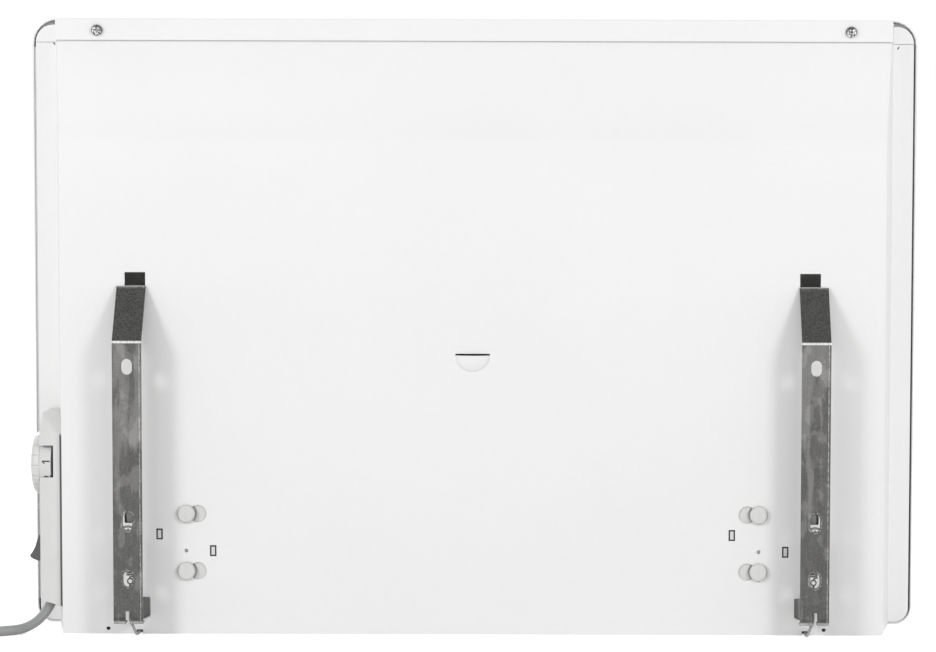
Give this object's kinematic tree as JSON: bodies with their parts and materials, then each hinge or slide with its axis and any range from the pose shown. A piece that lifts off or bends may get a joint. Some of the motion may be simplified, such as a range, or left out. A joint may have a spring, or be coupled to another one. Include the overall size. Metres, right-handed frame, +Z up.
{
  "type": "wall panel convector heater",
  "caption": "Flat electric convector with a louvred front, side dial and rocker switch, hinged wall brackets with sprung hooks, and a mains cord with plug.",
  "frame": {"origin": "under the middle of the heater with its brackets, level with the bottom edge of the casing", "axes": "+X along the width towards the control side, +Y from the front towards the wall, +Z up"},
  "size_m": [0.801, 0.1082, 0.44],
  "materials": {
    "white_paint": "white powder coat, satin",
    "galvanised_steel": "galvanised sheet, dull with faint spangle",
    "bright_steel": "bright zinc plating",
    "element_alloy": "plain extruded aluminium",
    "light_grey_moulding": "satin moulded plastic",
    "ivory_moulding": "satin heat-resistant plastic",
    "dark_grey_plastic": "fine texture",
    "black_plastic": "fine texture",
    "brown_bakelite": "satin thermoset",
    "nickel_brass": "nickel plated",
    "cord_sheath": "satin PVC sheath",
    "lead_sleeve": "woven glass sleeve, varnished"
  },
  "bodies": {
    "casing": {"front_shell": "white_paint", "outlet_frame": "white_paint", "outlet_blade_1": "white_paint", "outlet_blade_2": "white_paint", "outlet_blade_3": "white_paint", "outlet_blade_4": "white_paint", "intake_grille": "white_paint", "rear_pan": "white_paint", "corner_channel": "white_paint", "top_strip": "white_paint", "top_strip_screw_left": "bright_steel", "top_strip_screw_right": "bright_steel", "element_support_left": "ivory_moulding", "element_support_right": "ivory_moulding", "heating_element": "element_alloy", "element_end_left": "bright_steel", "element_end_right": "bright_steel", "heat_shield": "galvanised_steel", "cutout_bracket": "galvanised_steel", "thermal_cutout": "brown_bakelite", "control_housing": "light_grey_moulding", "housing_base": "light_grey_moulding", "thermostat_body": "brown_bakelite", "switch_body": "black_plastic", "terminal_block": "light_grey_moulding", "lead_live": "lead_sleeve", "lead_neutral": "lead_sleeve", "lead_link": "lead_sleeve", "cord_gland": "black_plastic", "cord_free": "cord_sheath", "cord_coil": "cord_sheath", "plug_body": "black_plastic", "plug_pin_1": "nickel_brass", "plug_pin_2": "nickel_brass", "plug_earth_clip_1": "nickel_brass", "plug_earth_clip_2": "nickel_brass"},
    "dial": {"dial_knob": "light_grey_moulding", "thermostat_shaft": "nickel_brass"},
    "rocker": {"switch_rocker": "dark_grey_plastic"},
    "bracket_left": {"wall_bracket_left": "galvanised_steel", "hook_spring_left": "bright_steel"},
    "bracket_right": {"wall_bracket_right": "galvanised_steel", "hook_spring_right": "bright_steel"},
    "hook_left": {"hook_wire_left": "bright_steel"},
    "hook_right": {"hook_wire_right": "bright_steel"}
  },
  "joints": [
    {"name": "dial_turn", "type": "hinge", "parent": "casing", "child": "dial", "pos_m": [0.2998, 0.0007, 0.12], "axis": [1, 0, 0], "range_deg": [-30, 240]},
    {"name": "switch_rock", "type": "hinge", "parent": "casing", "child": "rocker", "pos_m": [0.3093, 0.0007, 0.0587], "axis": [0, 1, 0], "range_deg": [0, 28]},
    {"name": "bracket_swing_left", "type": "hinge", "parent": "casing", "child": "bracket_left", "pos_m": [-0.242, 0.027, 0.2472], "axis": [1, 0, 0], "range_deg": [0, 10]},
    {"name": "bracket_swing_right", "type": "hinge", "parent": "casing", "child": "bracket_right", "pos_m": [0.242, 0.027, 0.2472], "axis": [1, 0, 0], "range_deg": [0, 10]},
    {"name": "hook_pull_left", "type": "slide", "parent": "bracket_left", "child": "hook_left", "axis": [0, 0, -1], "range_m": [0, 0.006], "stiffness_N_per_m": 300, "springref_m": -0.004, "deforming": ["hook_spring_left"]},
    {"name": "hook_pull_right", "type": "slide", "parent": "bracket_right", "child": "hook_right", "axis": [0, 0, -1], "range_m": [0, 0.006], "stiffness_N_per_m": 300, "springref_m": -0.004, "deforming": ["hook_spring_right"]}
  ]
}
